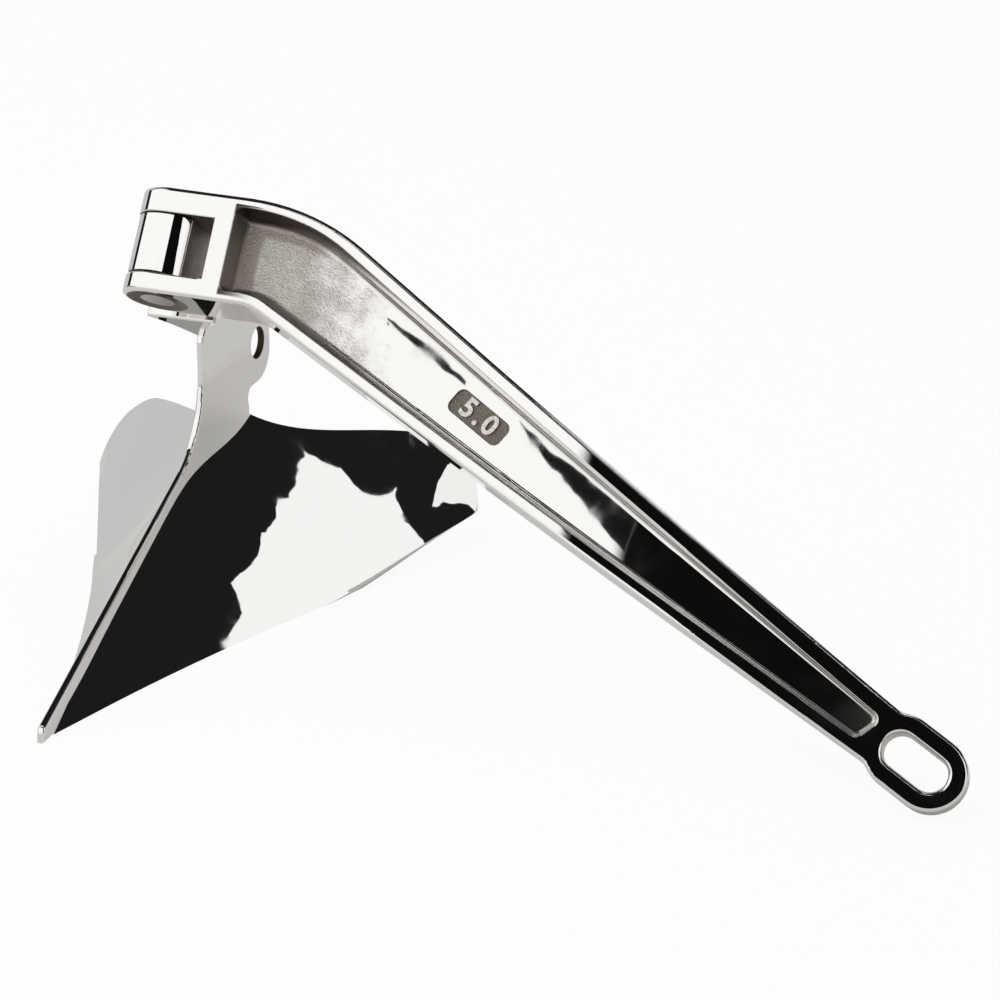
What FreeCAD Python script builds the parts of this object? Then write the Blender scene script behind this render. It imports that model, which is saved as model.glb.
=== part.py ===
import FreeCAD, Part
import math
import os

from FreeCAD import Vector

# Hinged plough anchor, all sizes in millimetres.
# While it is modelled, the tip of the plough stands on the floor at the origin: +X to the side
# that the shank is swung to, +Y back, +Z up.  At the end the whole part is moved so that its
# origin is the middle of the foot of its box.

# Hinge
HINGE_Y = 151.6
HINGE_Z = 181.1
PIN_LEAN = 54.61
PIN_DIA = 18.0
PIN_SEAT_CLEARANCE = 0.02
PIN_RUN_CLEARANCE = 0.05
PIN_END_INSET = 0.4
COUNTERSINK_DIA = 32.4
COUNTERSINK_DEPTH = 2.7

# Fork of the shank
FORK_WIDTH = 37.3
FORK_HEIGHT = 56.0
LOWER_EAR = 10.2
UPPER_EAR = 13.4
WINDOW_DEPTH = 27.0
WINDOW_CORNER = 2.7
WINDOW_EDGE_ROUND = 0.9

# Arm of the shank, in its own plane: x out from the pin axis, y up along the pin
ARM_TOP_BEND_X = 77.9
ARM_TOP_BEND_RADIUS = 122.4
ARM_FOOT_BEND_X = 54.7
ARM_FOOT_BEND_RADIUS = 22.5
ARM_TOP_END_X = 417.4
ARM_TOP_END_DROP = 151.7
ARM_FOOT_END_X = 408.4
ARM_FOOT_END_DROP = 180.0
ARM_TOP_SAG = 1.62
ARM_FOOT_SAG = 2.16
ARM_TAPER_START = 67.5
ARM_TAPER_END = 388.8
ARM_TAPER_BEND = 1350.0
ARM_SAG_BEND = 8000.0
ARM_EDGE_ROUND = 2.25

# Pockets on both faces of the arm
POCKET_START_X = 37.4
POCKET_TOP_FLANGE = 5.8
POCKET_FOOT_FLANGE = 5.8
POCKET_TOP_BEND_SETBACK = 2.7
POCKET_FOOT_BEND_ADVANCE = 1.5
POCKET_TOP_END_FLANGE = 5.6
POCKET_TOP_END_SETBACK = 5.0
POCKET_FOOT_END_FLANGE = 3.5
POCKET_FOOT_END_SETBACK = 16.9
POCKET_FLOOR_START = 4.8
POCKET_FLOOR_END = 3.5
POCKET_DRAFT = 0.25
POCKET_TOP_BEND_RADIUS = 100.8
POCKET_FOOT_BEND_RADIUS = 27.9
POCKET_CORNER = 1.05
POCKET_END_ROUND = 3.75
POCKET_FLOOR_ROUND = 2.9
POCKET_LIP_ROUND = 0.7

# Eye of the shank
EYE_X = 423.8
EYE_DROP = 172.0
EYE_SLANT = -28.5
EYE_ARC_SPACING = 17.5
EYE_SLOT_WIDTH = 17.4
EYE_RING_WIDTH = 9.6
EYE_THICKNESS = 13.9
EYE_SLOT_ROUND = 2.7
EYE_WAIST_ROUND = 10.8

# Plaque sunk in the floor of the front pocket
PLAQUE_X = 180.5
PLAQUE_DROP = 36.9
PLAQUE_SLANT = -30.5
PLAQUE_LENGTH = 34.2
PLAQUE_WIDTH = 13.8
PLAQUE_CORNER = 4.0
PLAQUE_DEPTH = 1.1

# Horn: knuckle, arm and neck, measured from the pin axis back
KNUCKLE_RADIUS = 18.3
KNUCKLE_GAP = 1.0
HORN_ARM_WIDTH = 29.7
NECK_FRONT = 32.4
NECK_WIDTH = 38.7
NECK_FLANGE = 1.8
NECK_LENGTH = 32.4
NECK_WAIST_WIDTH = 16.2
NECK_WAIST_BACK = 10.8
NECK_TAIL_WIDTH = 2.7
NECK_TAIL_TOP = 10.0
NECK_SHOULDER_BACK = 7.0
NECK_SHOULDER_ROUND = 12.0
NECK_FOOT = 0.3
NECK_TOP = 50.4
NECK_EDGE_ROUND = 1.35

# Web and spine plate, in the plane X = 0
WEB_THICKNESS = 4.1
WEB_EDGE_ROUND = 1.3
NOSE_HEIGHT = 7.2
NOSE_REACH = 1.8
NOSE_LEAN = 1.0
NOSE_ROUND = 4.5
RIDGE_SLOPE = 22.8
WEB_FRONT_Y = 200.5
WEB_FRONT_BEND = 54.0
WEB_FOOT_FRONT = 20.0
WEB_TOP_DROP = 8.0
WEB_TOP_ROUND = 10.0
WEB_INSET = 3.0
WEB_REAR_STEP = 3.0
SPINE_DEPTH = 18.0
SPINE_REAR_INSET = 1.0
TRIP_HOLE_Y = 271.8
TRIP_HOLE_Z = 118.1
TRIP_HOLE_DIA = 17.6
TRIP_HOLE_ROUND = 0.7
LUG_RADIUS = 16.9
LUG_TOP_RISE = 3.0
LUG_FOOT_DROP = 6.0
LUG_NOTCH_Y = 255.5
LUG_NOTCH_Z = 95.5
LUG_NOTCH_RADIUS = 5.4

# Shares: sections across Y, each an outer curve from the lower edge to the top line
SHARE_THICKNESS = 4.5
SHARE_FRONT_Y = 5.4
SHARE_LOFT_START = 0.0
SHARE_LOFT_END = 351.0
SHARE_SECTIONS = 11
EDGE_TIP_WIDTH = 1.44
EDGE_SPREAD = 86.0
EDGE_FLARE = 71.2
EDGE_STRAIGHTENING = 23.0
EDGE_LIFT_Y = 208.8
EDGE_LIFT_SLOPE = 0.21
EDGE_LIFT_EASE = 21.6
EDGE_SOLE = 1.5
TOP_TIP_RISE = 3.6
TOP_CLIMB = 0.437
TOP_SADDLE_RISE = 79.2
TOP_SADDLE_Y = 235.8
TOP_WING_RISE = 88.5
TOP_KNEE_EASE = 6.3
SIDE_HOLLOW_FRONT = 11.0
RIM_CURL_REAR = 15.0
CURL_START_Y = 216.0
CURL_END_Y = 315.0
FACET_REAR_Y = 50.0
FACET_PEAK_Y = 20.0
FACET_PEAK_HEIGHT = 5.0
FACET_FRONT_WIDTH = 1.0
REAR_START_X = 1.7
REAR_START_Y = 258.9
REAR_CORNER_X = 88.2
REAR_CORNER_Y = 319.2
WING_CORNER_Y = 325.5
WING_CORNER_ROUND = 12.0
REAR_CORNER_ROUND = 45.0

# Points that several functions share
ARM_TOP_END = Vector(ARM_TOP_END_X, -ARM_TOP_END_DROP, 0)
ARM_FOOT_END = Vector(ARM_FOOT_END_X, -ARM_FOOT_END_DROP, 0)
EYE_CENTRE = Vector(EYE_X, -EYE_DROP, 0)
PLAQUE_CENTRE = Vector(PLAQUE_X, -PLAQUE_DROP, 0)
REAR_START = Vector(REAR_START_X, REAR_START_Y, 0)
REAR_CORNER = Vector(REAR_CORNER_X, REAR_CORNER_Y, 0)

# Longer than any size of the part, and how near an edge lies to be picked
REACH = 1000.0
NEAR = 0.4
TOUCHING = 1e-3

# Share of a run that two arcs take where they would need more than all of it
RUN_SHARE = 0.98


def line(a, b):
    return Part.LineSegment(a, b).toShape()


def rounded_outline(corners):
    """Closed wire of straight runs joined by tangent arcs, from (point, radius) pairs.

    An arc whose run is too short for it is as large as the run allows.
    """
    count = len(corners)
    runs = [corners[(i + 1) % count][0] - corners[i][0] for i in range(count)]
    half_turns = [runs[i - 1].getAngle(runs[i]) / 2 for i in range(count)]
    cuts = [corners[i][1] * math.tan(half_turns[i]) for i in range(count)]
    room = []
    for i, run in enumerate(runs):
        taken = cuts[i] + cuts[(i + 1) % count]
        room.append(1.0 if taken < run.Length + TOUCHING else RUN_SHARE * run.Length / taken)
    starts = []
    ends = []
    arcs = []
    for i, (here, radius) in enumerate(corners):
        if radius == 0 or half_turns[i] < 1e-6:
            starts.append(here)
            ends.append(here)
            arcs.append(None)
            continue
        fit = min(room[i - 1], room[i])
        inward = Vector(runs[i - 1]).normalize()
        outward = Vector(runs[i]).normalize()
        across = (outward - inward).normalize()
        middle = here + across * (fit * radius * (1 / math.cos(half_turns[i]) - 1))
        starts.append(here - inward * (fit * cuts[i]))
        ends.append(here + outward * (fit * cuts[i]))
        arcs.append(Part.Arc(starts[-1], middle, ends[-1]).toShape())
    edges = []
    for i, arc in enumerate(arcs):
        if arc is not None:
            edges.append(arc)
        a = ends[i]
        b = starts[(i + 1) % len(corners)]
        if (b - a).Length > 1e-4:
            edges.append(line(a, b))
    return Part.Wire(edges)


def prism(wire, direction):
    return Part.Face(wire).extrude(direction)


def sagged(a, b, sag):
    """Corner halfway along a run whose middle hangs below the straight line."""
    chord = b - a
    below = Vector(chord.y, -chord.x, 0.0)
    if below.y > 0:
        below = below * -1.0
    below.normalize()
    return (a + b) * 0.5 + below * sag


def bar_outline(length, width, corner, z):
    """Rounded rectangle about the origin, long side along X."""
    x = length / 2
    y = width / 2
    points = [Vector(-x, -y, z), Vector(x, -y, z), Vector(x, y, z), Vector(-x, y, z)]
    return rounded_outline([(p, corner) for p in points])


def slanted_bar(centre, length, width, corner, slant, low, high):
    """Upright bar with rounded corners between two heights, turned and set on its centre."""
    bar = prism(bar_outline(length, width, corner, low), Vector(0, 0, high - low))
    bar.rotate(Vector(0, 0, 0), Vector(0, 0, 1), slant)
    bar.translate(centre)
    return bar


def middle_of(edge):
    return edge.valueAt((edge.FirstParameter + edge.LastParameter) / 2)


def is_smooth(shape, edge):
    """True where the two faces at an edge run on into each other, or the edge is a seam."""
    faces = shape.ancestorsOfType(edge, Part.Face)
    if len(faces) < 2:
        return True
    at = middle_of(edge)
    normals = []
    for face in faces:
        u, v = face.Surface.parameter(at)
        normals.append(face.normalAt(u, v))
    turn = normals[0].getAngle(normals[1])
    return turn < math.radians(5) or turn > math.radians(175)


def sharp_edges(shape, wanted):
    """Corner edges of a shape whose middle point passes the test."""
    return [e for e in shape.Edges if wanted(middle_of(e)) and not is_smooth(shape, e)]


# Shank, in its own frame: x out from the pin axis, y up along the pin, z to the front

def half_width(x):
    """Half of the arm's width at a distance x out from the pin."""
    run = (x - ARM_TAPER_START) / (ARM_TAPER_END - ARM_TAPER_START)
    run = min(max(run, 0.0), 1.0)
    return (FORK_WIDTH * (1 - run) + EYE_THICKNESS * run) / 2


def side_outline(z):
    """Side view of the fork and the arm."""
    foot_bend = Vector(ARM_FOOT_BEND_X, 0, z)
    top_bend = Vector(ARM_TOP_BEND_X, FORK_HEIGHT, z)
    foot_end = ARM_FOOT_END + Vector(0, 0, z)
    top_end = ARM_TOP_END + Vector(0, 0, z)
    return rounded_outline([
        (Vector(-FORK_WIDTH, 0, z), 0),
        (foot_bend, ARM_FOOT_BEND_RADIUS),
        (sagged(foot_bend, foot_end, ARM_FOOT_SAG), ARM_SAG_BEND),
        (foot_end, 0),
        (top_end, 0),
        (sagged(top_end, top_bend, ARM_TOP_SAG), ARM_SAG_BEND),
        (top_bend, ARM_TOP_BEND_RADIUS),
        (Vector(-FORK_WIDTH, FORK_HEIGHT, z), 0),
    ])


def plan_outline(y):
    """View along the pin: round fork end, then a slow taper down to the eye."""
    half = FORK_WIDTH / 2
    half_eye = EYE_THICKNESS / 2
    corners = [
        (Vector(-half, y, -half), half),
        (Vector(ARM_TAPER_START, y, -half), ARM_TAPER_BEND),
        (Vector(ARM_TAPER_END, y, -half_eye), ARM_TAPER_BEND),
        (Vector(REACH, y, -half_eye), 0),
    ]
    mirrored = [(Vector(p.x, p.y, -p.z), radius) for p, radius in reversed(corners)]
    return rounded_outline(corners + mirrored)


def shank_blank():
    """Fork, arm and eye ring as one block, before anything is cut out of it."""
    deep = FORK_WIDTH
    arm = prism(side_outline(-deep), Vector(0, 0, 2 * deep))
    ring_width = EYE_SLOT_WIDTH + 2 * EYE_RING_WIDTH
    ring = slanted_bar(EYE_CENTRE, EYE_ARC_SPACING + ring_width, ring_width,
                       ring_width / 2, EYE_SLANT, -deep, deep)
    outline = arm.fuse(ring).removeSplitter().Solids[0]
    waist_reach = EYE_ARC_SPACING + ring_width / 2
    waists = []
    for edge in sharp_edges(outline, lambda m: abs(m.z) < NEAR):
        if (middle_of(edge) - EYE_CENTRE).Length < waist_reach:
            waists.append(edge)
    outline = outline.makeFillet(EYE_WAIST_ROUND, waists)
    blank = outline.common(prism(plan_outline(-REACH), Vector(0, 2 * REACH, 0))).Solids[0]
    rims = sharp_edges(blank, lambda m: abs(abs(m.z) - half_width(m.x)) < NEAR)
    nose = sharp_edges(blank, lambda m: m.x < NEAR - FORK_WIDTH / 2)
    return blank, rims + nose


def grown(corners, distance):
    """Rounded outline, counterclockwise, moved out by one distance all round."""
    moved = []
    for i, (here, radius) in enumerate(corners):
        before = here - corners[i - 1][0]
        after = corners[(i + 1) % len(corners)][0] - here
        before.normalize()
        after.normalize()
        out = Vector(before.y + after.y, -before.x - after.x, 0)
        side = 1 if before.x * after.y - before.y * after.x > 0 else -1
        moved.append((here + out * (2.0 * distance / out.dot(out)), radius + side * distance))
    return moved


def inset(start, end, setback, up):
    """Point before the end of a run and beside it, on the upper side for a positive distance."""
    along = (end - start).normalize()
    return end - along * setback + Vector(-along.y, along.x, 0) * up


def pocket_floor(x):
    """Height of the pocket's floor above the middle of the arm."""
    fall = (POCKET_FLOOR_START - POCKET_FLOOR_END) / EYE_CENTRE.x
    return POCKET_FLOOR_START - fall * x


def pocket_cutter():
    """Drafted block with rounded corners that sinks the pocket into the front of the arm."""
    foot = POCKET_FOOT_FLANGE
    top = FORK_HEIGHT - POCKET_TOP_FLANGE
    foot_bend = Vector(ARM_FOOT_BEND_X + POCKET_FOOT_BEND_ADVANCE, foot, 0)
    top_bend = Vector(ARM_TOP_BEND_X - POCKET_TOP_BEND_SETBACK, top, 0)
    foot_end = inset(Vector(ARM_FOOT_BEND_X, 0, 0), ARM_FOOT_END,
                     POCKET_FOOT_END_SETBACK, POCKET_FOOT_END_FLANGE)
    top_end = inset(Vector(ARM_TOP_BEND_X, FORK_HEIGHT, 0), ARM_TOP_END,
                    POCKET_TOP_END_SETBACK, -POCKET_TOP_END_FLANGE)
    drafted = POCKET_DRAFT * (FORK_WIDTH / 2 - POCKET_FLOOR_START)
    lip = [
        (Vector(POCKET_START_X, foot, 0), POCKET_CORNER + drafted),
        (foot_bend, POCKET_FOOT_BEND_RADIUS),
        (sagged(foot_bend, foot_end, ARM_FOOT_SAG), ARM_SAG_BEND),
        (foot_end, POCKET_END_ROUND + drafted),
        (top_end, POCKET_END_ROUND + drafted),
        (sagged(top_end, top_bend, ARM_TOP_SAG), ARM_SAG_BEND),
        (top_bend, POCKET_TOP_BEND_RADIUS),
        (Vector(POCKET_START_X, top, 0), POCKET_CORNER + drafted),
    ]

    def outline_at(height):
        spread = POCKET_DRAFT * (height - FORK_WIDTH / 2)
        corners = grown(lip, spread)
        return rounded_outline([(p + Vector(0, 0, height), radius) for p, radius in corners])

    low = POCKET_FLOOR_END / 2
    block = Part.makeLoft([outline_at(low), outline_at(FORK_WIDTH)], True, True)
    start = Vector(0, -REACH, pocket_floor(0))
    end = Vector(EYE_CENTRE.x, -REACH, pocket_floor(EYE_CENTRE.x))
    above = [start, end, end + Vector(0, 0, REACH), start + Vector(0, 0, REACH)]
    above = prism(rounded_outline([(p, 0) for p in above]), Vector(0, 2 * REACH, 0))
    block = block.common(above).Solids[0]
    rim = sharp_edges(block, lambda m: m.z < POCKET_FLOOR_START)
    return block.makeFillet(POCKET_FLOOR_ROUND, rim)


def eye_slot():
    length = EYE_ARC_SPACING + EYE_SLOT_WIDTH
    deep = EYE_THICKNESS
    return slanted_bar(EYE_CENTRE, length, EYE_SLOT_WIDTH, EYE_SLOT_WIDTH / 2, EYE_SLANT,
                       -deep, deep)


def fork_window():
    """Gap between the two ears, open at the round end of the fork."""
    top = FORK_HEIGHT - UPPER_EAR
    deep = FORK_WIDTH
    return prism(rounded_outline([
        (Vector(-FORK_WIDTH, LOWER_EAR, -deep), 0),
        (Vector(WINDOW_DEPTH, LOWER_EAR, -deep), WINDOW_CORNER),
        (Vector(WINDOW_DEPTH, top, -deep), WINDOW_CORNER),
        (Vector(-FORK_WIDTH, top, -deep), 0),
    ]), Vector(0, 0, 2 * deep))


def upright_cylinder(radius, low, high):
    """Cylinder about the pin axis, between two heights along it."""
    return Part.makeCylinder(radius, high - low, Vector(0, low, 0), Vector(0, 1, 0))


def countersink(face, inward):
    """Shallow cone round the end of the pin, from a face of the fork inwards."""
    deep = COUNTERSINK_DEPTH
    wide = COUNTERSINK_DIA / 2
    narrow = PIN_DIA / 2 + PIN_SEAT_CLEARANCE
    return Part.makeCone(wide, narrow, deep, Vector(0, face, 0), Vector(0, inward, 0))


def build_shank():
    blank, rims = shank_blank()
    shank = blank.makeFillet(ARM_EDGE_ROUND, rims)
    slot = eye_slot()
    shank = shank.cut(slot)
    mouth = sharp_edges(shank, lambda m: slot.distToShape(Part.Vertex(m))[0] < TOUCHING
                        and abs(abs(m.z) - EYE_THICKNESS / 2) < NEAR)
    shank = shank.makeFillet(EYE_SLOT_ROUND, mouth)
    front = pocket_cutter()
    back = front.mirror(Vector(0, 0, 0), Vector(0, 0, 1))
    shank = shank.cut(front).cut(back)
    lips = sharp_edges(shank, lambda m: abs(abs(m.z) - half_width(m.x)) < NEAR
                       and m.x > POCKET_START_X - NEAR and (m - EYE_CENTRE).Length > EYE_SLOT_WIDTH)
    shank = shank.makeFillet(POCKET_LIP_ROUND, lips)
    plaque = slanted_bar(PLAQUE_CENTRE, PLAQUE_LENGTH, PLAQUE_WIDTH, PLAQUE_CORNER, PLAQUE_SLANT,
                         pocket_floor(PLAQUE_CENTRE.x) - PLAQUE_DEPTH, FORK_WIDTH)
    shank = shank.cut(plaque)
    window = fork_window()
    shank = shank.cut(window)
    sides = sharp_edges(shank, lambda m: window.distToShape(Part.Vertex(m))[0] < TOUCHING)
    shank = shank.makeFillet(WINDOW_EDGE_ROUND, sides)
    seat = PIN_DIA / 2 + PIN_SEAT_CLEARANCE
    shank = shank.cut(upright_cylinder(seat, 0, FORK_HEIGHT))
    return shank.cut(countersink(0, 1)).cut(countersink(FORK_HEIGHT, -1)).Solids[0]


def build_pin():
    return upright_cylinder(PIN_DIA / 2, PIN_END_INSET, FORK_HEIGHT - PIN_END_INSET)


# Horn, partly in the pin's frame: x to the side, y up along the pin, z to the front

def knuckle_and_arm():
    low = LOWER_EAR + KNUCKLE_GAP
    high = FORK_HEIGHT - UPPER_EAR - KNUCKLE_GAP
    half = HORN_ARM_WIDTH / 2
    barrel = upright_cylinder(KNUCKLE_RADIUS, low, high)
    front = KNUCKLE_RADIUS
    slab = Part.makeBox(2 * half, high - low, NECK_FRONT + NECK_FLANGE + front,
                        Vector(-half, low, -NECK_FRONT - NECK_FLANGE))
    nose = barrel.common(slab)
    arm = Part.makeBox(2 * half, high - low, NECK_FRONT + NECK_FLANGE,
                       Vector(-half, low, -NECK_FRONT - NECK_FLANGE))
    return nose.fuse(arm)


def neck():
    """Flange behind the fork, narrowing in hollow curves to the web and sloping down to it."""
    front = -NECK_FRONT
    flange = front - NECK_FLANGE
    back = front - NECK_LENGTH
    low = NECK_FOOT
    wide = NECK_WIDTH / 2
    waist = NECK_WAIST_WIDTH / 2
    thin = NECK_TAIL_WIDTH / 2

    def hollow(side):
        curve = Part.BezierCurve()
        curve.setPoles([
            Vector(side * wide, low, flange),
            Vector(side * waist, low, flange - NECK_WAIST_BACK),
            Vector(side * thin, low, back),
        ])
        return curve.toShape()

    edges = [
        line(Vector(-wide, low, front), Vector(wide, low, front)),
        line(Vector(wide, low, front), Vector(wide, low, flange)),
        hollow(1),
        line(Vector(thin, low, back), Vector(-thin, low, back)),
        hollow(-1),
        line(Vector(-wide, low, flange), Vector(-wide, low, front)),
    ]
    body = prism(Part.Wire(edges), Vector(0, NECK_TOP - low, 0))
    rims = sharp_edges(body, lambda m: m.z > front - NEAR)
    body = body.makeFillet(NECK_EDGE_ROUND, rims)
    slope = rounded_outline([
        (Vector(-REACH, -REACH, 0), 0),
        (Vector(-REACH, -REACH, back), 0),
        (Vector(-REACH, NECK_TAIL_TOP, back), 0),
        (Vector(-REACH, NECK_TOP, flange - NECK_SHOULDER_BACK), NECK_SHOULDER_ROUND),
        (Vector(-REACH, NECK_TOP, REACH), 0),
        (Vector(-REACH, -REACH, REACH), 0),
    ])
    return body.common(prism(slope, Vector(2 * REACH, 0, 0)))


def hinge_point(back, up):
    """Point in the plane X = 0, given behind the pin axis and up along it."""
    return Vector(0, HINGE_Y, HINGE_Z) + back_direction() * back + pin_direction() * up


def web_outline():
    """Web, lug and spine in one outline in the plane X = 0."""
    x = -WEB_THICKNESS / 2
    climb = math.tan(math.radians(RIDGE_SLOPE))
    ridge_foot = Vector(x, -NOSE_REACH, 0)
    nose_top = Vector(x, NOSE_LEAN - NOSE_REACH, NOSE_HEIGHT)
    knee = Vector(x, WEB_FRONT_Y, NOSE_HEIGHT + climb * WEB_FRONT_Y)
    under_neck = hinge_point(NECK_FRONT + NECK_LENGTH - WEB_INSET, NECK_FOOT + WEB_INSET)
    neck_inside = hinge_point(NECK_FRONT + NECK_LENGTH / 2, NECK_TOP / 3)
    neck_top = hinge_point(NECK_FRONT + NECK_FLANGE, NECK_TOP - WEB_INSET)
    neck_back = hinge_point(NECK_FRONT + NECK_LENGTH, NECK_TOP - WEB_TOP_DROP)
    lug_rear = TRIP_HOLE_Y + LUG_RADIUS
    lug_top = Vector(x, lug_rear, TRIP_HOLE_Z + LUG_RADIUS + LUG_TOP_RISE)
    lug_foot = Vector(x, lug_rear, TRIP_HOLE_Z - LUG_RADIUS - LUG_FOOT_DROP)
    notch = Vector(x, LUG_NOTCH_Y, LUG_NOTCH_Z)
    rear = REAR_START.y
    notch_foot = Vector(x, rear, share_top(rear) + WEB_REAR_STEP)
    root = Vector(x, rear - SPINE_REAR_INSET, share_top(rear) - SPINE_DEPTH)
    bend = WEB_FRONT_Y - WEB_FOOT_FRONT
    saddle = Vector(x, bend, share_top(bend) - SPINE_DEPTH)
    tail = Vector(x, SPINE_DEPTH / climb, 0)
    corners = [
        (ridge_foot, 0),
        (tail, 0),
        (saddle, WEB_FRONT_BEND),
        (root, 0),
        (notch_foot, 0),
        (notch, LUG_NOTCH_RADIUS),
        (lug_foot, LUG_RADIUS),
        (lug_top, LUG_RADIUS),
        (Vector(x, neck_back.y, neck_back.z), WEB_TOP_ROUND),
        (Vector(x, neck_top.y, neck_top.z), 0),
        (Vector(x, neck_inside.y, neck_inside.z), 0),
        (Vector(x, under_neck.y, under_neck.z), 0),
        (Vector(x, WEB_FRONT_Y, under_neck.z - 2 * WEB_INSET), 0),
        (knee, WEB_FRONT_BEND),
        (nose_top, NOSE_ROUND),
    ]
    return rounded_outline(corners)


def build_horn():
    web = prism(web_outline(), Vector(WEB_THICKNESS, 0, 0))
    rims = [e for e in web.Edges if abs(abs(middle_of(e).x) - WEB_THICKNESS / 2) < TOUCHING]
    web = web.makeFillet(WEB_EDGE_ROUND, rims)
    hinge_end = knuckle_and_arm().fuse(neck())
    bore = upright_cylinder(PIN_DIA / 2 + PIN_RUN_CLEARANCE, 0, FORK_HEIGHT)
    hinge_end = hinge_end.cut(bore)
    hinge_end.Placement = plough_hinge_placement()
    horn = web.fuse(hinge_end).removeSplitter()
    hole = Part.makeCylinder(TRIP_HOLE_DIA / 2, 2 * WEB_THICKNESS,
                             Vector(-WEB_THICKNESS, TRIP_HOLE_Y, TRIP_HOLE_Z), Vector(1, 0, 0))
    horn = horn.cut(hole)
    middle = Vector(0, TRIP_HOLE_Y, TRIP_HOLE_Z)
    reach = math.hypot(TRIP_HOLE_DIA / 2, WEB_THICKNESS / 2)
    mouth = sharp_edges(horn, lambda m: (m - middle).Length < reach + NEAR)
    return horn.makeFillet(TRIP_HOLE_ROUND, mouth).Solids[0]


# Shares

def smooth_step(y, start, end):
    run = min(max((y - start) / (end - start), 0.0), 1.0)
    return run * run * (3 - 2 * run)


def edge_width(y):
    """Distance of the lower edge from the middle of the plough."""
    t = y / SHARE_LOFT_END
    return EDGE_TIP_WIDTH + EDGE_SPREAD * t + EDGE_FLARE * t ** 2 - EDGE_STRAIGHTENING * t ** 3


def edge_splay(y):
    """How fast the lower edge moves away from the middle on its way back."""
    t = y / SHARE_LOFT_END
    return (EDGE_SPREAD + 2 * EDGE_FLARE * t - 3 * EDGE_STRAIGHTENING * t ** 2) / SHARE_LOFT_END


def edge_lift(y):
    """Height of the lower edge: on the floor in front, then rising to the wing."""
    past = y - EDGE_LIFT_Y
    eased = (past + math.hypot(past, EDGE_LIFT_EASE)) / 2
    return EDGE_LIFT_SLOPE * eased - EDGE_SOLE


def share_top(y):
    """Height at which the outer face of a share meets the middle of the plough."""
    climb = TOP_TIP_RISE + TOP_CLIMB * y
    wing = max(0.0, y - TOP_SADDLE_Y) / (SHARE_LOFT_END - TOP_SADDLE_Y)
    saddle = TOP_SADDLE_RISE + TOP_WING_RISE * wing ** 2
    return (climb + saddle - math.hypot(climb - saddle, TOP_KNEE_EASE)) / 2


def section_poles(y):
    """Poles of the outer and the inner curve of a section, from the lower edge to the top."""
    rim = Vector(edge_width(y), y, edge_lift(y))
    top = Vector(0, y, share_top(y))
    chord = top - rim
    curl = smooth_step(y, CURL_START_Y, CURL_END_Y)
    rim_turn = RIM_CURL_REAR * curl - SIDE_HOLLOW_FRONT * (1 - curl)
    top_turn = SIDE_HOLLOW_FRONT * (1 - curl)
    handle = chord.Length / 3
    slope = math.degrees(math.atan2(chord.z, -chord.x))

    def along(degrees):
        turn = math.radians(degrees)
        return Vector(-math.cos(turn), 0, math.sin(turn))

    def inward(degrees):
        turn = math.radians(degrees)
        return Vector(-math.sin(turn), 0, -math.cos(turn))

    rim_slope = slope + rim_turn
    top_slope = slope + top_turn
    outer = [rim, rim + along(rim_slope) * handle, top - along(top_slope) * handle, top]
    inner = [
        outer[0] + inward(rim_slope) * SHARE_THICKNESS,
        outer[1] + inward(rim_slope) * SHARE_THICKNESS,
        outer[2] + inward(top_slope) * SHARE_THICKNESS,
        outer[3] + inward(top_slope) * SHARE_THICKNESS,
    ]
    return outer, inner


def share_section(y):
    """Closed section across the plough: outer curve, inner curve and the two ends."""
    outer, inner = section_poles(y)
    outside = Part.BezierCurve()
    outside.setPoles(outer)
    inside = Part.BezierCurve()
    inside.setPoles(inner[::-1])
    edges = [outside.toShape(), line(outer[3], inner[3]), inside.toShape(), line(inner[0], outer[0])]
    return Part.Wire(edges)


def share_plan():
    """Plan of the right share: swept rear edge and rounded wing; its lower edge stays free."""
    far = 2 * SHARE_LOFT_END
    side = WEB_THICKNESS / 2
    wing = Vector(edge_width(WING_CORNER_Y), WING_CORNER_Y, 0)
    shoulder = wing - Vector(edge_splay(WING_CORNER_Y), 1, 0) * (WING_CORNER_Y / 3)
    return rounded_outline([
        (Vector(side, SHARE_FRONT_Y, 0), 0),
        (Vector(far, SHARE_FRONT_Y, 0), 0),
        (Vector(far, shoulder.y, 0), 0),
        (shoulder, 0),
        (wing, WING_CORNER_ROUND),
        (REAR_CORNER, REAR_CORNER_ROUND),
        (REAR_START, 0),
        (Vector(side, REAR_START.y, 0), 0),
    ])


def on_share(y, height):
    """Point on the outer face of the right share."""
    curve = Part.BezierCurve()
    curve.setPoles(section_poles(y)[0])
    level = Part.Plane(Vector(0, 0, height), Vector(0, 0, 1))
    met = curve.intersect(level)[0][0]
    return Vector(met.X, met.Y, met.Z)


def tip_facet():
    """Block that grinds a flat on the lower front of the right share."""
    peak = on_share(FACET_PEAK_Y, FACET_PEAK_HEIGHT)
    rear = on_share(FACET_REAR_Y, 0)
    front = Vector(FACET_FRONT_WIDTH, SHARE_FRONT_Y, 0)
    along = (front - rear).normalize()
    out = along.cross(peak - rear).normalize()
    if out.x < 0:
        out = out * -1.0
    up = along.cross(out) * FACET_REAR_Y
    ahead = rear + along * (2 * FACET_REAR_Y)
    flat = [rear - up, rear + up, ahead + up, ahead - up]
    return prism(rounded_outline([(p, 0) for p in flat]), out * FACET_REAR_Y)


def build_right_share():
    step = (SHARE_LOFT_END - SHARE_LOFT_START) / (SHARE_SECTIONS - 1)
    sections = [share_section(SHARE_LOFT_START + i * step) for i in range(SHARE_SECTIONS)]
    plate = Part.makeLoft(sections, True, False)
    plate = plate.common(prism(share_plan(), Vector(0, 0, REACH)))
    return plate.cut(tip_facet()).Solids[0]


# Placements in the plough's frame

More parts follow.
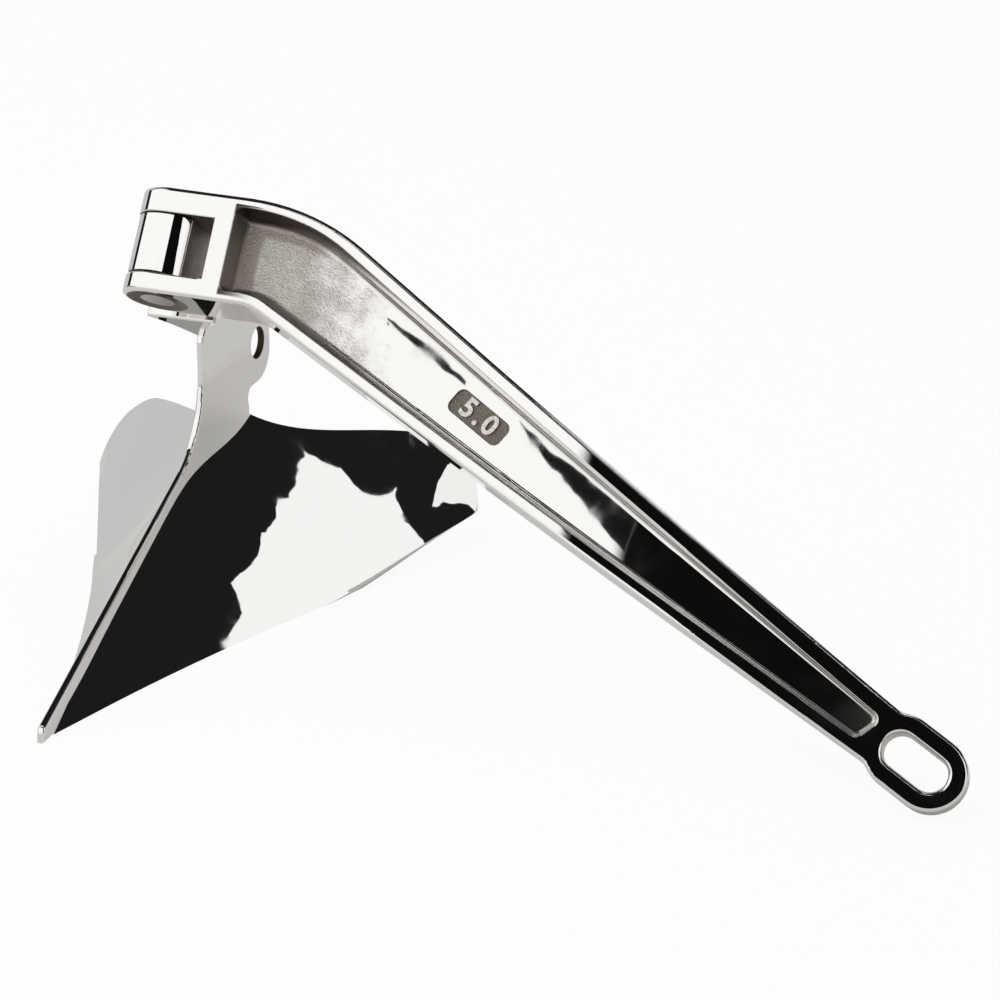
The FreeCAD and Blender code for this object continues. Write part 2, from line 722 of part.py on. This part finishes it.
def pin_direction():
    lean = math.radians(PIN_LEAN)
    return Vector(0, math.cos(lean), math.sin(lean))


def back_direction():
    lean = math.radians(PIN_LEAN)
    return Vector(0, math.sin(lean), -math.cos(lean))


def hinge_placement(swing):
    """Frame of the pin with its x axis swung back from the side by an angle in degrees."""
    turn = math.radians(swing)
    up = pin_direction()
    out = Vector(1, 0, 0) * math.cos(turn) + back_direction() * math.sin(turn)
    front = out.cross(up)
    matrix = FreeCAD.Matrix(out.x, up.x, front.x, 0,
                            out.y, up.y, front.y, HINGE_Y,
                            out.z, up.z, front.z, HINGE_Z,
                            0, 0, 0, 1)
    return FreeCAD.Placement(matrix)


def plough_hinge_placement():
    return hinge_placement(0.0)


def resting_swing():
    """Swing past square at which the eye ring lies on the floor."""
    lean = math.radians(PIN_LEAN)
    slant = math.radians(EYE_SLANT)
    far_arc = EYE_CENTRE + Vector(math.cos(slant), math.sin(slant), 0) * (EYE_ARC_SPACING / 2)
    radius = EYE_SLOT_WIDTH / 2 + EYE_RING_WIDTH
    turn = 0.0
    for _ in range(20):
        level = math.cos(lean) * math.cos(turn)
        drop = ((radius - ARM_EDGE_ROUND) * math.sqrt(1 - level ** 2)
                + (EYE_THICKNESS / 2 - ARM_EDGE_ROUND) * level + ARM_EDGE_ROUND)
        height = HINGE_Z + far_arc.y * math.sin(lean) - drop
        turn = math.asin(height / (far_arc.x * math.cos(lean)))
    return math.degrees(turn)


def build_parts():
    swing = hinge_placement(resting_swing())
    shank = build_shank()
    shank.Placement = swing
    pin = build_pin()
    pin.Placement = swing
    right = build_right_share()
    left = right.mirror(Vector(0, 0, 0), Vector(1, 0, 0))
    return {
        "shank": shank,
        "hinge_pin": pin,
        "horn": build_horn(),
        "right_share": right,
        "left_share": left,
    }


os.makedirs("parts", exist_ok=True)
parts = build_parts()
overall = FreeCAD.BoundBox()
for shape in parts.values():
    overall.add(shape.optimalBoundingBox(False, False))
foot = Vector(overall.Center.x, overall.Center.y, overall.ZMin)
for name, shape in parts.items():
    shape.translate(foot * -1.0)
    shape.exportStep("parts/" + name + ".step")
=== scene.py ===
import math

import bpy
from mathutils import Matrix, Vector


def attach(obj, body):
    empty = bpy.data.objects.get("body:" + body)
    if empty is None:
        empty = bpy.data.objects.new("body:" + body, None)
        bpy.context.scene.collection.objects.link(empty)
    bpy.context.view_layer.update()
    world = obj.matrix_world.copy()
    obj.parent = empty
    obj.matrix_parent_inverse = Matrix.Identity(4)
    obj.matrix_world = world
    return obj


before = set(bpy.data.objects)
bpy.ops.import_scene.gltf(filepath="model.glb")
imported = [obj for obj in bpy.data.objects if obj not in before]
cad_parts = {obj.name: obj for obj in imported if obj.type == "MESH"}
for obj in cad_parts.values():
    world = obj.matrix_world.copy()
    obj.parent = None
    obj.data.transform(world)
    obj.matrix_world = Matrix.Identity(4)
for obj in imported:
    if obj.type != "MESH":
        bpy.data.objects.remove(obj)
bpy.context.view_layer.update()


# Camera, at the photograph's viewing angle

SENSOR = 36.0
LENS = 126.0
SIGHT = 60.0
CAMERA_PLACE = (0.5745, -1.5485, 0.7682)
CAMERA_TURN = (67.691, 0.04, 19.777)


def place_camera():
    data = bpy.data.cameras.new("camera")
    data.sensor_width = SENSOR
    data.lens = LENS
    data.clip_end = SIGHT
    camera = bpy.data.objects.new("camera", data)
    camera.location = CAMERA_PLACE
    camera.rotation_euler = [math.radians(angle) for angle in CAMERA_TURN]
    bpy.context.scene.collection.objects.link(camera)
    bpy.context.scene.camera = camera


# Shader maths, written as expressions

class Socket:
    """A value, colour or vector in a node tree, on which Python's operators add nodes."""

    def __init__(self, nodes, socket):
        self.nodes = nodes
        self.socket = socket

    def __add__(self, other):
        return self.nodes.maths("ADD", self, other)

    def __radd__(self, other):
        return self.nodes.maths("ADD", other, self)

    def __sub__(self, other):
        return self.nodes.maths("SUBTRACT", self, other)

    def __rsub__(self, other):
        return self.nodes.maths("SUBTRACT", other, self)

    def __mul__(self, other):
        return self.nodes.maths("MULTIPLY", self, other)

    def __rmul__(self, other):
        return self.nodes.maths("MULTIPLY", other, self)

    def __pow__(self, other):
        return self.nodes.maths("POWER", self, other)

    def __rpow__(self, other):
        return self.nodes.maths("POWER", other, self)

    def __abs__(self):
        return self.nodes.maths("ABSOLUTE", self, 0)

    def part(self, axis):
        """X, Y or Z of a vector."""
        return self.nodes.output(axis, "ShaderNodeSeparateXYZ", {}, {"Vector": self})

    def clamped(self):
        """The value, held between zero and one."""
        return self.nodes.output(0, "ShaderNodeClamp", {}, {"Value": self})

    def soft_step(self, none, full):
        """Zero on one side of a range, one on the other, and an eased change between."""
        return self.nodes.output(0, "ShaderNodeMapRange", {"interpolation_type": "SMOOTHSTEP"},
                                 {"Value": self, "From Min": none, "From Max": full})


class Nodes:
    """Adds nodes to a tree, each from its type, its settings and what its sockets take."""

    def __init__(self, tree):
        self.tree = tree

    def fill(self, target, value):
        if isinstance(value, Socket):
            self.tree.links.new(value.socket, target)
        else:
            target.default_value = value

    def node(self, kind, settings=None, values=None):
        made = self.tree.nodes.new(kind)
        for name, setting in (settings or {}).items():
            setattr(made, name, setting)
        for name, value in (values or {}).items():
            self.fill(made.inputs[name], value)
        return made

    def output(self, which, kind, settings=None, values=None):
        """One output of a new node."""
        return Socket(self, self.node(kind, settings, values).outputs[which])

    def maths(self, operation, a, b):
        return self.output(0, "ShaderNodeMath", {"operation": operation}, {0: a, 1: b})

    def place(self):
        """Where a point is on the object."""
        return self.output("Object", "ShaderNodeTexCoord")

    def grain(self, at, scale, detail, roughness=0.5):
        return self.output("Fac", "ShaderNodeTexNoise", {},
                           {"Vector": at, "Scale": scale, "Detail": detail, "Roughness": roughness})

    def between(self, share, first, second):
        """The first colour where the share is zero, the second where it is one."""
        return self.output(2, "ShaderNodeMix", {"data_type": "RGBA"}, {"Factor": share, 6: first, 7: second})

    def blended(self, share, first, second):
        """Mix of two surfaces."""
        return self.output(0, "ShaderNodeMixShader", {}, {0: share, 1: first, 2: second})

    def bump(self, height, distance):
        return self.output(0, "ShaderNodeBump", {}, {"Height": height, "Distance": distance})

    def rays(self):
        """Whether the camera, a mirror or a clear body sends the ray."""
        path = self.node("ShaderNodeLightPath")
        return [Socket(self, path.outputs[kind])
                for kind in ("Is Camera Ray", "Is Glossy Ray", "Is Transmission Ray")]


class Material(Nodes):
    """A material whose tree is still empty."""

    def __init__(self, name):
        self.material = bpy.data.materials.new(name)
        self.material.use_nodes = True
        super().__init__(self.material.node_tree)
        self.tree.nodes.clear()

    def surface(self, **values):
        """Principled surface, with its sockets given by name."""
        sockets = {name.replace("_", " "): value for name, value in values.items()}
        return self.output(0, "ShaderNodeBsdfPrincipled", {}, sockets)

    def finish(self, surface):
        self.node("ShaderNodeOutputMaterial", {}, {"Surface": surface})
        return self.material


# Frame of the shank: x out from the pin, y up along the pin, z to the front face

PIN_LEAN = math.radians(54.61)
SWING = math.radians(4.4546)
PIN_FOOT = Vector((-0.16651, -0.00838, 0.1811))
PIN_UP = Vector((0, math.cos(PIN_LEAN), math.sin(PIN_LEAN)))
PIN_BACK = Vector((0, math.sin(PIN_LEAN), -math.cos(PIN_LEAN)))
ARM_OUT = Vector((1, 0, 0)) * math.cos(SWING) + PIN_BACK * math.sin(SWING)
ARM_FRONT = ARM_OUT.cross(PIN_UP)
TO_SHANK = Matrix((ARM_OUT, PIN_UP, ARM_FRONT))


def on_shank(x, y, z):
    """Point given in the shank's frame."""
    return PIN_FOOT + ARM_OUT * x + PIN_UP * y + ARM_FRONT * z


def distance(a, b):
    return (a * a + b * b) ** 0.5


# Colours of the finishes, and of the painted shade on covered and recessed casting

POLISHED = (0.86, 0.85, 0.835, 1.0)
AS_CAST = (0.82, 0.79, 0.74, 1.0)
# Darker tone of the casting, for its soil; in the pocket it also carries the walls' painted shade
AS_CAST_DARK = (0.42, 0.375, 0.34, 1.0)
PLAQUE_CAST = (0.29, 0.25, 0.21, 1.0)
# Casting painted dark as shade: under the fork, in the countersinks' rims and in the fork's window
COVERED_CAST_SHADE = (0.16, 0.14, 0.115, 1.0)
WEB_SATIN = (0.86, 0.845, 0.83, 1.0)
HOLE_CAST = (0.05, 0.034, 0.025, 1.0)
# Cast walls under the pocket's lips, painted dark as shade
LIP_CAST_SHADE = (0.075, 0.062, 0.053, 1.0)
END_SATIN = (0.66, 0.63, 0.59, 1.0)
PIN_TURNED = (0.58, 0.56, 0.54, 1.0)
NUMBER_TOPS = (0.72, 0.69, 0.65, 1.0)

# Roughness of the finishes: what smears, casting and satin add to the bare polish

POLISH_ROUGHNESS = 0.02
SMEAR_ROUGHNESS = 0.05
HORN_CAST_ROUGHNESS = 0.42
WEB_SATIN_ROUGHNESS = 0.4
SHANK_CAST_ROUGHNESS = 0.36
END_SATIN_ROUGHNESS = 0.36
PIN_ROUGHNESS = 0.22
NUMBER_ROUGHNESS = 0.12

# Relief of the finishes, in metres: waves left by the polishing wheel, pits, scuffs and grain

WAVE_HEIGHT = 0.0003
SHANK_WAVE_HEIGHT = 0.0002
PIT_DEPTH = 0.0006
PIT_STRENGTH = 0.8
SCUFF_DEPTH = 0.00005
NUMBER_GRAIN = 0.0002


def polish_waves(steel, at):
    """Height of the faint waves that polishing leaves on a casting."""
    broad = steel.grain(at, scale=22.0, detail=1.0)
    fine = steel.grain(at, scale=75.0, detail=1.0)
    return broad * 0.35 + fine * 0.08


def smears_of(steel, at):
    """Roughness of the polish, with faint smears."""
    smears = steel.grain(at, scale=45.0, detail=4.0, roughness=0.6)
    return smears.soft_step(0.5, 0.8) * SMEAR_ROUGHNESS + POLISH_ROUGHNESS


def pits(steel, at, polish, rough):
    """Normal of a polished surface that is pitted where it is left as cast."""
    height = steel.grain(at, scale=900.0, detail=3.0, roughness=0.65) * rough
    return steel.output(0, "ShaderNodeBump", {}, {
        "Height": height, "Distance": PIT_DEPTH, "Strength": PIT_STRENGTH, "Normal": polish})


def polished_steel():
    steel = Material("mirror_polished_steel")
    at = steel.place()
    return steel.finish(steel.surface(
        Base_Color=POLISHED,
        Metallic=1.0,
        Roughness=smears_of(steel, at),
        Normal=steel.bump(polish_waves(steel, at), WAVE_HEIGHT)))


# Horn: where each finish and the painted shade under the fork start and where they are full, in
# metres. Across is from the middle plane, back and up are from the foot of the pin, and the lug's hole
# is given by its Y and Z

ARM_SIDE_ACROSS = (0.0144, 0.0147)
ARM_SIDE_BACK = (0.0320, 0.0315)
ARM_SIDE_UP = (0.0104, 0.0108)
UNDER_FORK_SHADE_BACK = (0.010, 0.026)
HOLE = (0.1118, 0.1181)
HOLE_WALL = (0.0093, 0.0089)
WEB_FOOT_HEIGHT = (0.130, 0.112)
WEB_FOOT_ACROSS = (0.0017, 0.0020)
WEB_DULLNESS = 0.7


def horn_steel():
    """Polished, with the web satin by the shares; the fork covers sides that are as cast, and their casting
    darkens towards the back with painted shade.
    """
    steel = Material("horn_steel")
    at = steel.place()
    across = abs(at.part("X") - PIN_FOOT.x)
    y = at.part("Y")
    z = at.part("Z")
    back = (y - PIN_FOOT.y) * PIN_BACK.y + (z - PIN_FOOT.z) * PIN_BACK.z
    up = (y - PIN_FOOT.y) * PIN_UP.y + (z - PIN_FOOT.z) * PIN_UP.z
    arm_side = (across.soft_step(*ARM_SIDE_ACROSS) * back.soft_step(*ARM_SIDE_BACK)
                * up.soft_step(*ARM_SIDE_UP))
    hole_wall = distance(y - HOLE[0], z - HOLE[1]).soft_step(*HOLE_WALL)
    rough = (arm_side + hole_wall).clamped()
    web_foot = z.soft_step(*WEB_FOOT_HEIGHT) * across.soft_step(*WEB_FOOT_ACROSS)
    blotches = steel.grain(at, scale=90.0, detail=3.0, roughness=0.6)
    cast = steel.between(blotches.soft_step(0.3, 0.7), AS_CAST_DARK, PLAQUE_CAST)
    # Painted shade: the cast sides darken towards the back, under the fork
    cast = steel.between(back.soft_step(*UNDER_FORK_SHADE_BACK), cast, COVERED_CAST_SHADE)
    cast = steel.between(hole_wall, cast, HOLE_CAST)
    polish = steel.bump(polish_waves(steel, at), WAVE_HEIGHT)
    return steel.finish(steel.surface(
        Base_Color=steel.between(rough, steel.between(web_foot, POLISHED, WEB_SATIN), cast),
        Metallic=1 - web_foot * WEB_DULLNESS,
        Roughness=smears_of(steel, at) + rough * HORN_CAST_ROUGHNESS + web_foot * WEB_SATIN_ROUGHNESS,
        Normal=pits(steel, at, polish, rough)))


def pin_steel():
    """Turned pin whose ends are left satin."""
    steel = Material("pin_steel")
    scuffs = steel.grain(steel.place(), scale=260.0, detail=4.0, roughness=0.6)
    return steel.finish(steel.surface(
        Base_Color=PIN_TURNED,
        Metallic=1.0,
        Roughness=scuffs * 0.2 + PIN_ROUGHNESS,
        Normal=steel.bump(scuffs, SCUFF_DEPTH)))


# Shank: its top and foot lines, which fall after a bend, and its half thickness, which tapers

FORK_HEIGHT = 0.056
TOP_BEND = 0.0779
TOP_BEND_EASE = 0.00026
TOP_FALL = 0.306
FOOT_BEND = 0.0547
FOOT_BEND_EASE = 0.00004
FOOT_FALL = 0.2545
HALF_FORK = 0.01865
TAPER_START = 0.0675
TAPER = 0.0364

# Pocket: where each finish and each painted shade starts and where it is full. The lips' walls are
# cast and painted dark as shade, and under the top lip, by the end wall and on the side walls painted
# shade darkens the casting. The reach of a lip is along the arm, and blotches make the borders of the
# casting and of the satin ragged

POCKET_DEPTH = (0.0004, 0.0012)
POCKET_LINE = (0.0032, 0.0042)
POCKET_START = (0.0364, 0.0376)
CAST_REACH = (0.080, 0.140)
CAST_RAGGED = 0.06
CAST_SLANT = 0.30
SATIN_START = (0.376, 0.416)
SATIN_RAGGED = 0.012
TOP_LIP = (0.0095, 0.0070)
TOP_LIP_REACH = (0.260, 0.180)
FOOT_LIP = (0.0085, 0.0062)
FOOT_LIP_REACH = (0.210, 0.120)
UNDER_LIP = (0.0165, 0.0120)
UNDER_LIP_REACH = (0.115, 0.085)
END_WALL = (0.0520, 0.0475)
WALL_DEPTH = (0.0128, 0.0100)

# Soil in the rough casting: where blotches and specks turn dark, and how much they darken

SOILED_BLOTCHES = (0.66, 0.40)
BLOTCH_SHADE = 0.35
SOILED_SPECKS = (0.62, 0.35)
SPECK_SHADE = 0.2

# Plaque, rims of the pin's countersinks and window of the fork; the rims and the window are cast and painted
# dark as shade

PLAQUE = (0.1805, -0.0369)
PLAQUE_SLANT = math.radians(-30.5)
PLAQUE_FLOOR = 0.00315
PLAQUE_ROUND = (0.0193, 0.0190)
PLAQUE_LOW = (0.0, 0.001)
PLAQUE_HIGH = (0.0040, 0.0037)
PIN_RIM = (0.0162, 0.0160)
BELOW_FORK = (0.0032, 0.0028)
ABOVE_FORK = (0.0528, 0.0532)
WINDOW_DEPTH = (0.0276, 0.0272)
WINDOW_LOW = (0.0099, 0.0101)
WINDOW_HIGH = (0.0429, 0.0427)


def after_bend(x, bend, ease):
    """Twice the way past a bend, eased through it."""
    past = x - bend
    return past + (past * past + ease) ** 0.5


def shank_steel():
    """Mirror polish outside; inside the pockets it fades from rough casting by the hinge. Painted shade
    darkens the pockets' walls, the countersinks' rims and the fork's window.
    """
    steel = Material("shank_steel")
    at = steel.place()
    local = steel.output(0, "ShaderNodeMapping", {"vector_type": "POINT"}, {
        "Vector": at, "Rotation": TO_SHANK.to_euler("XYZ"), "Location": TO_SHANK @ PIN_FOOT * -1.0})
    x = local.part("X")
    y = local.part("Y")
    z = local.part("Z")
    from_top = FORK_HEIGHT - after_bend(x, TOP_BEND, TOP_BEND_EASE) * TOP_FALL - y
    from_foot = y - after_bend(x, FOOT_BEND, FOOT_BEND_EASE) * -FOOT_FALL
    depth = HALF_FORK - (x - TAPER_START) * TAPER - abs(z)

    inside = (depth.soft_step(*POCKET_DEPTH) * from_foot.soft_step(*POCKET_LINE)
              * from_top.soft_step(*POCKET_LINE) * x.soft_step(*POCKET_START))
    blotches = steel.grain(at, scale=60.0, detail=3.0, roughness=0.6)
    specks = steel.grain(at, scale=420.0, detail=3.0, roughness=0.7)
    cast_border = x + (blotches - 0.5) * CAST_RAGGED + from_foot * CAST_SLANT
    hinge_end = 1 - cast_border.soft_step(*CAST_REACH)
    eye_end = (x + (blotches - 0.5) * SATIN_RAGGED).soft_step(*SATIN_START)
    lip_walls = (from_top.soft_step(*TOP_LIP) * x.soft_step(*TOP_LIP_REACH)
                 + from_foot.soft_step(*FOOT_LIP) * x.soft_step(*FOOT_LIP_REACH))
    # Painted shade on the pocket's casting: under the top lip, by the end wall and on the side walls
    under_lip_shade = from_top.soft_step(*UNDER_LIP) * x.soft_step(*UNDER_LIP_REACH)
    walls = (x.soft_step(*END_WALL) + under_lip_shade + lip_walls + depth.soft_step(*WALL_DEPTH)).clamped()
    rough = inside * (hinge_end + lip_walls).clamped()
    satin = inside * eye_end

    plaque = (distance(x - PLAQUE[0], y - PLAQUE[1]).soft_step(*PLAQUE_ROUND)
              * z.soft_step(*PLAQUE_LOW) * z.soft_step(*PLAQUE_HIGH))
    outside_ears = y.soft_step(*BELOW_FORK) + y.soft_step(*ABOVE_FORK)
    pin_rim = distance(x, z).soft_step(*PIN_RIM) * outside_ears
    window = x.soft_step(*WINDOW_DEPTH) * y.soft_step(*WINDOW_LOW) * y.soft_step(*WINDOW_HIGH)
    pitted = (rough + plaque + pin_rim + window).clamped()

    soiled = (blotches.soft_step(*SOILED_BLOTCHES) * BLOTCH_SHADE
              + specks.soft_step(*SOILED_SPECKS) * SPECK_SHADE)
    # The casting darkens with its soil and with the walls' painted shade
    cast = steel.between((soiled + walls).clamped(), AS_CAST, AS_CAST_DARK)
    colour = steel.between(satin * 0.8, POLISHED, END_SATIN)
    colour = steel.between(rough, colour, cast)
    # Painted shade: the lips' cast walls are painted dark
    colour = steel.between(inside * lip_walls.clamped(), colour, LIP_CAST_SHADE)
    colour = steel.between(plaque, colour, PLAQUE_CAST)
    # Painted shade: the countersinks' rims and the fork's window are painted dark
    colour = steel.between((pin_rim + window).clamped(), colour, COVERED_CAST_SHADE)
    polish = steel.bump(polish_waves(steel, at), SHANK_WAVE_HEIGHT)
    return steel.finish(steel.surface(
        Base_Color=colour,
        Metallic=1.0,
        Roughness=smears_of(steel, at) + pitted * SHANK_CAST_ROUGHNESS + satin * END_SATIN_ROUGHNESS,
        Normal=pits(steel, at, polish, pitted)))


def number_steel():
    """Raised digits: bright tops that have been wiped by the polishing wheel."""
    steel = Material("number_steel")
    at = steel.place()
    return steel.finish(steel.surface(
        Base_Color=NUMBER_TOPS,
        Metallic=1.0,
        Roughness=steel.grain(at, scale=400.0, detail=3.0) * 0.2 + NUMBER_ROUGHNESS,
        Normal=steel.bump(steel.grain(at, scale=500.0, detail=3.0), NUMBER_GRAIN)))


# Raised number in the plaque of the shank

NUMBER = "5.0"
NUMBER_SIZE = 0.0142
NUMBER_SPACING = 1.3
NUMBER_WEIGHT = 0.00035
NUMBER_HALF_HEIGHT = 0.0005
NUMBER_ROUNDING = 0.0002
NUMBER_LIFT = 0.0003


def raised_number(material):
    bpy.ops.object.select_all(action="DESELECT")
    bpy.ops.object.text_add(location=(0, 0, 0))
    text = bpy.context.active_object
    text.name = "weight_number"
    text.data.body = NUMBER
    text.data.align_x = "CENTER"
    text.data.align_y = "CENTER"
    text.data.size = NUMBER_SIZE
    text.data.space_character = NUMBER_SPACING
    text.data.offset = NUMBER_WEIGHT
    text.data.extrude = NUMBER_HALF_HEIGHT
    text.data.bevel_depth = NUMBER_ROUNDING
    text.data.bevel_resolution = 2
    text.data.resolution_u = 8
    bpy.ops.object.convert(target="MESH")
    turn = TO_SHANK.transposed() @ Matrix.Rotation(PLAQUE_SLANT, 3, "Z")
    middle = on_shank(PLAQUE[0], PLAQUE[1], PLAQUE_FLOOR + NUMBER_LIFT)
    text.data.transform(Matrix.Translation(middle) @ turn.to_4x4())
    wear(text, material)
    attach(text, "shank")


def wear(piece, material):
    """Give a piece its one material."""
    piece.data.materials.clear()
    piece.data.materials.append(material)


# Surroundings: pale floor, white room, and screens that only reflections show

ROOM_LIGHT = (0.70, 0.695, 0.69, 1)
WHITE = (1, 1, 1, 1)
FLOOR_PALE = (0.64, 0.635, 0.63, 1)
FLOOR_ROUGHNESS = 0.9
FLOOR_SIDE = 30.0

# Strength of the floor's white, and its share in what is seen directly and in reflections

FLOOR_WHITE = 1.04
FLOOR_SHARE_SEEN = 0.88
FLOOR_SHARE_MIRRORED = 0.12

# Screens round the anchor: azimuth from the front to the right, and elevation, in degrees, each
# from and to, then brightness, and distance in metres

SCREENS = (
    ("bright_front", -60, 30, 22, 53, 1.1, 3.6),
    ("bright_left", -94, -58, 14, 50, 1.1, 3.7),
    ("grey_left", -162, -104, -2, 31, 0.62, 3.8),
    ("grey_left_low", -95, -56, -2, 14.5, 0.37, 3.75),
    ("dark_left", -105, -94, -2, 40, 0.01, 3.2),
    ("dark_top_left", -80, -10, 54, 73, 0.02, 3.1),
    ("dark_top_right", -10, 60, 54, 73, 0.02, 3.1),
    ("dark_back", 152, 214, 6, 62, 0.01, 3.6),
    ("dark_back_left", 195, 262, 30, 76, 0.01, 3.7),
    ("bright_back_low", 160, 206, -1, 17, 1.05, 3.2),
    ("dark_zenith", -60, 60, 72, 84, 0.02, 3.15),
    ("dark_zenith_left", -150, -60, 56, 84, 0.02, 3.25),
    ("bright_side", 62, 78, 16, 46, 1.1, 2.9),
    ("dark_right_low", 100, 136, -1, 46, 0.012, 3.3),
    ("dark_right_far", 134, 168, 12, 46, 0.012, 3.35),
    ("dark_right_black", 116, 135, -2, 18, 0.001, 3.2),
    ("dark_right_high", 78, 128, 43, 68, 0.012, 3.4),
    ("dark_right_back", 126, 175, 44, 68, 0.012, 3.5))

# Small bright card to the right of the anchor, near enough for its edges to curve in the share

BRIGHT_RIGHT = (
    (0.261, 0.107, 0.538),
    (0.368, 0.341, 0.372),
    (0.273, 0.447, 0.373),
    (0.220, 0.405, 0.422),
    (0.168, 0.196, 0.546),
    (0.184, 0.124, 0.571))
BRIGHT_RIGHT_LIGHT = 1.05

# Dark ceiling behind the anchor, which the roundings along the arm show as a line

DARK_ABOVE = ((-1.7, -0.35, 3.3), (1.7, -0.35, 3.3), (1.7, 1.8, 3.3), (-1.7, 1.8, 3.3))
DARK_ABOVE_LIGHT = 0.02

# Dark screen close in front of the arm, whose left edge lies across the long polish

FRONT_LEFT = 0.024
FRONT_WIDTH = 1.2
FRONT_HEIGHT = 0.85
FRONT_Y = -0.42
FRONT_LIGHT = 0.004
FRONT_FADE = 0.01

# Narrow shapes just behind it, as (x, z), which the pocket's polish shows as streaks

STREAKS_Y = -0.419
STREAKS_LIGHT = 0.008
STREAKS = {
    "dark_wedge": ((-0.064, 0.593), (-0.038, 0.559), (0.034, 0.484), (0.034, 0.516), (-0.030, 0.563)),
    "dark_streak": ((-0.182, 0.679), (-0.146, 0.647), (-0.105, 0.616), (-0.105, 0.621), (-0.140, 0.653))}


def at_direction(azimuth, elevation, away):
    """Point seen from the middle of the anchor."""
    turn = math.radians(azimuth)
    rise = math.radians(elevation)
    return Vector((math.sin(turn) * math.cos(rise), -math.cos(turn) * math.cos(rise),
                   math.sin(rise))) * away


def plane(name, centre, width, height, facing):
    bpy.ops.mesh.primitive_plane_add(size=1.0, location=(0, 0, 0))
    made = bpy.context.active_object
    made.name = name
    made.rotation_mode = "QUATERNION"
    made.rotation_quaternion = Vector(facing).to_track_quat("Z", "Y")
    made.scale = (width, height, 1.0)
    made.location = centre
    return made


def only_in_polish(made, light, fade):
    """Make a screen of plain light that only reflections show, faded at its left and right edge."""
    glow = Material(made.name)
    shown = glow.output(0, "ShaderNodeEmission", {}, {"Color": (light, light, light, 1)})
    if fade:
        clear = glow.output(0, "ShaderNodeBsdfTransparent")
        inside = abs(glow.place().part("X")).soft_step(0.5, 0.5 - fade)
        shown = glow.blended(inside, clear, shown)
    made.data.materials.append(glow.finish(shown))
    made.visible_camera = False
    made.visible_diffuse = False
    made.visible_shadow = False
    made.visible_transmission = False
    made.visible_volume_scatter = False


def screen(name, corners, light):
    """Flat screen from its corners in order."""
    bpy.ops.mesh.primitive_circle_add(vertices=len(corners), fill_type="NGON", location=(0, 0, 0))
    made = bpy.context.active_object
    made.name = name
    for point, corner in zip(made.data.vertices, corners):
        point.co = corner
    only_in_polish(made, light, 0)


def hang_screens():
    middle = (FRONT_LEFT + FRONT_WIDTH / 2, FRONT_Y, FRONT_HEIGHT / 2)
    front = plane("dark_front", middle, FRONT_WIDTH, FRONT_HEIGHT, (0, 1, 0))
    only_in_polish(front, FRONT_LIGHT, FRONT_FADE)
    for name, corners in STREAKS.items():
        screen(name, [(x, STREAKS_Y, z) for x, z in corners], STREAKS_LIGHT)
    for name, left, right, low, high, light, away in SCREENS:
        corners = ((left, low), (right, low), (right, high), (left, high))
        screen(name, [at_direction(azimuth, elevation, away) for azimuth, elevation in corners], light)
    screen("bright_right", BRIGHT_RIGHT, BRIGHT_RIGHT_LIGHT)
    screen("dark_above", DARK_ABOVE, DARK_ABOVE_LIGHT)


def white_room():
    """Room that lights softly and looks white, directly, in the polish and through clear bodies."""
    world = bpy.data.worlds.new("room")
    bpy.context.scene.world = world
    world.use_nodes = True
    room = Nodes(world.node_tree)
    straight, mirrored, through = room.rays()
    walls = room.between(straight + mirrored + through, ROOM_LIGHT, WHITE)
    room.fill(world.node_tree.nodes["Background"].inputs["Color"], walls)


def lay_floor():
    """Floor that looks white but keeps the anchor's shadow."""
    floor = plane("floor", (0, 0, 0), FLOOR_SIDE, FLOOR_SIDE, (0, 0, 1))
    pale = Material("pale_floor")
    straight, mirrored, through = pale.rays()
    seen = (straight + through) * FLOOR_SHARE_SEEN + mirrored * FLOOR_SHARE_MIRRORED
    lit = pale.surface(Base_Color=FLOOR_PALE, Roughness=FLOOR_ROUGHNESS)
    white = pale.output(0, "ShaderNodeEmission", {}, {"Color": WHITE, "Strength": FLOOR_WHITE})
    floor.data.materials.append(pale.finish(pale.blended(seen, lit, white)))


# Soft light from the upper left

SOFTBOX_SIZE = 2.0
SOFTBOX_POWER = 25.0
SOFTBOX_PLACE = Vector((-1.2, -1.0, 2.6))


def key_light():
    data = bpy.data.lights.new("softbox", "AREA")
    data.shape = "DISK"
    data.size = SOFTBOX_SIZE
    data.energy = SOFTBOX_POWER
    light = bpy.data.objects.new("softbox", data)
    light.location = SOFTBOX_PLACE
    light.rotation_mode = "QUATERNION"
    light.rotation_quaternion = (-SOFTBOX_PLACE).normalized().to_track_quat("-Z", "Y")
    light.visible_glossy = False
    bpy.context.scene.collection.objects.link(light)


place_camera()
share_steel = polished_steel()
wear(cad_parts["right_share"], share_steel)
wear(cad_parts["left_share"], share_steel)
wear(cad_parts["horn"], horn_steel())
wear(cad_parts["hinge_pin"], pin_steel())
wear(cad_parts["shank"], shank_steel())
raised_number(number_steel())
bpy.context.scene.view_settings.view_transform = "Standard"
lay_floor()
white_room()
hang_screens()
key_light()
